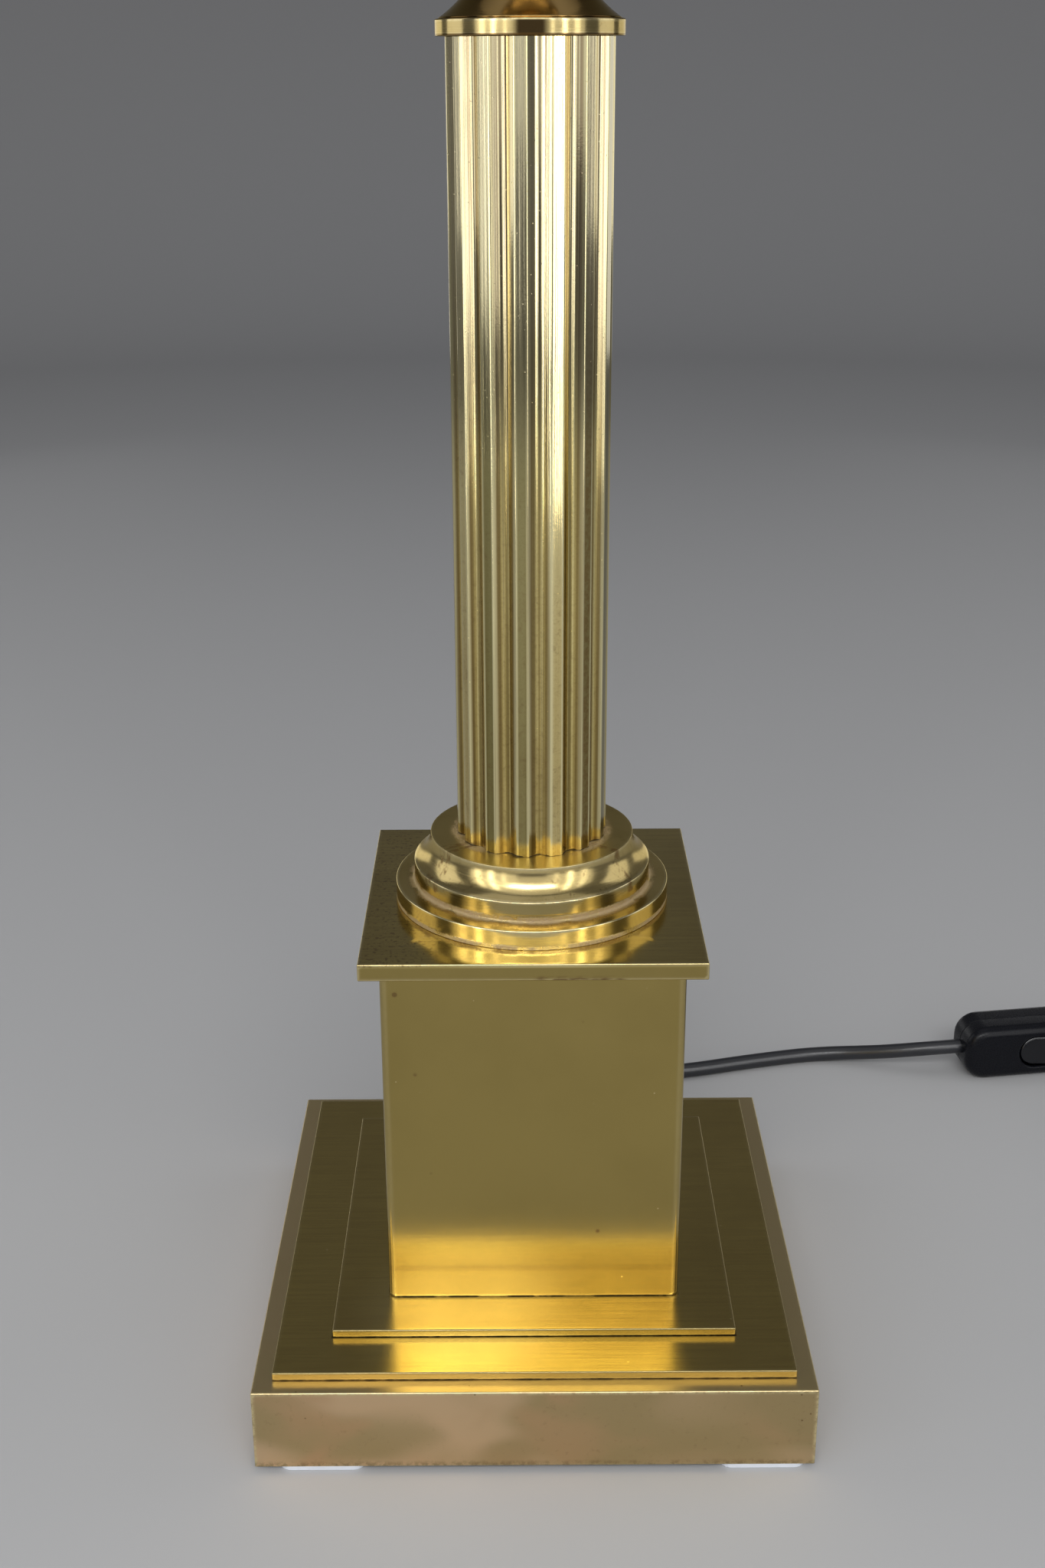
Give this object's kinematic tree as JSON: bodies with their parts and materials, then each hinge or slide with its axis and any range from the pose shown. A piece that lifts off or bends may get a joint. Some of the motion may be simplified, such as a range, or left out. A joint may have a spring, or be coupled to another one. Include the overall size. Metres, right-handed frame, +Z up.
{
  "type": "column table lamp",
  "caption": "Brass column table lamp: square stepped plinth, pedestal, fluted column and lampholder, with a corded inline rocker switch and plug.",
  "frame": {"origin": "on the floor, under the middle of the square plinth, at the level of the foot pads' undersides", "axes": "+Z up along the column, +Y towards the back wall where the cord leaves, +X to the right along the front edge of the plinth"},
  "size_m": [0.4302, 0.2741, 0.5255],
  "materials": {
    "column_brass": "polished, lightly tarnished",
    "pedestal_brass": "polished, finely scratched",
    "plinth_brass": "dull, blotchy",
    "holder_brass": "satin",
    "fitting_brass": "machined",
    "plated_steel": "zinc plated",
    "plug_pin_metal": "nickel plated",
    "weight_iron": "painted black",
    "foot_pad_white": "soft, off-white",
    "porcelain": "glazed porcelain",
    "terminal_plastic": "matt",
    "wire_cover": "smooth",
    "cord_black": "satin black",
    "tie_black": "matt black",
    "switch_black": "semi-gloss black",
    "rocker_black": "gloss black",
    "plug_black": "satin black"
  },
  "bodies": {
    "lamp": {"base_weight": "weight_iron", "block_screw": "plated_steel", "bottom_cover": "plated_steel", "capital": "column_brass", "capital_bell": "column_brass", "centre_contact": "fitting_brass", "clamp_screws": "plated_steel", "coil_tie": "tie_black", "column_base_ring": "column_brass", "cord_boot": "cord_black", "cord_clamp": "terminal_plastic", "cord_coil": "cord_black", "cord_feed": "cord_black", "cord_run": "cord_black", "cord_tail": "cord_black", "cover_screws": "plated_steel", "entry_cord": "cord_black", "fluted_column": "column_brass", "foot_pads": "foot_pad_white", "lamp_wires": "wire_cover", "lampholder_cap": "holder_brass", "lampholder_shell": "holder_brass", "lock_nut": "fitting_brass", "lower_locator": "plated_steel", "lower_step_plate": "pedestal_brass", "neck_collar": "column_brass", "pedestal_cap": "pedestal_brass", "pedestal_tube": "pedestal_brass", "plinth_cover": "plinth_brass", "plug_body": "plug_black", "plug_boot": "cord_black", "plug_cord_end": "cord_black", "plug_pins": "plug_pin_metal", "rocker_pin": "plated_steel", "rod_nut": "fitting_brass", "rod_washer": "plated_steel", "screw_shell": "fitting_brass", "sleeve_rivet": "fitting_brass", "socket_insulator": "porcelain", "socket_terminal_screws": "plated_steel", "socket_terminals": "fitting_brass", "supply_cores": "wire_cover", "switch_front_shell": "switch_black", "switch_rear_shell": "switch_black", "switch_screws": "plated_steel", "switch_terminal_screws": "plated_steel", "switch_terminals": "fitting_brass", "terminal_block": "terminal_plastic", "threaded_rod": "fitting_brass", "upper_locator": "plated_steel", "upper_step_plate": "pedestal_brass"},
    "rocker": {"rocker": "rocker_black"},
    "contact_slider": {"contact_slider": "fitting_brass"},
    "shade_ring": {"shade_ring": "holder_brass"}
  },
  "joints": [
    {"name": "rocker_tilt", "type": "hinge", "parent": "lamp", "child": "rocker", "pos_m": [0.22617, 0.16395, 0.0125], "axis": [0, 0, 1], "range_deg": [0, 14]},
    {"name": "contact_travel", "type": "slide", "parent": "lamp", "child": "contact_slider", "axis": [0.9903, 0.1392, 0], "range_m": [-0.0019, 0]},
    {"name": "shade_ring_travel", "type": "slide", "parent": "lamp", "child": "shade_ring", "axis": [0, 0, 1], "range_m": [0, 0.019]}
  ],
  "couplings": [
    {"joint": "contact_travel", "follows": "rocker_tilt", "m_per_rad": -0.0075}
  ]
}
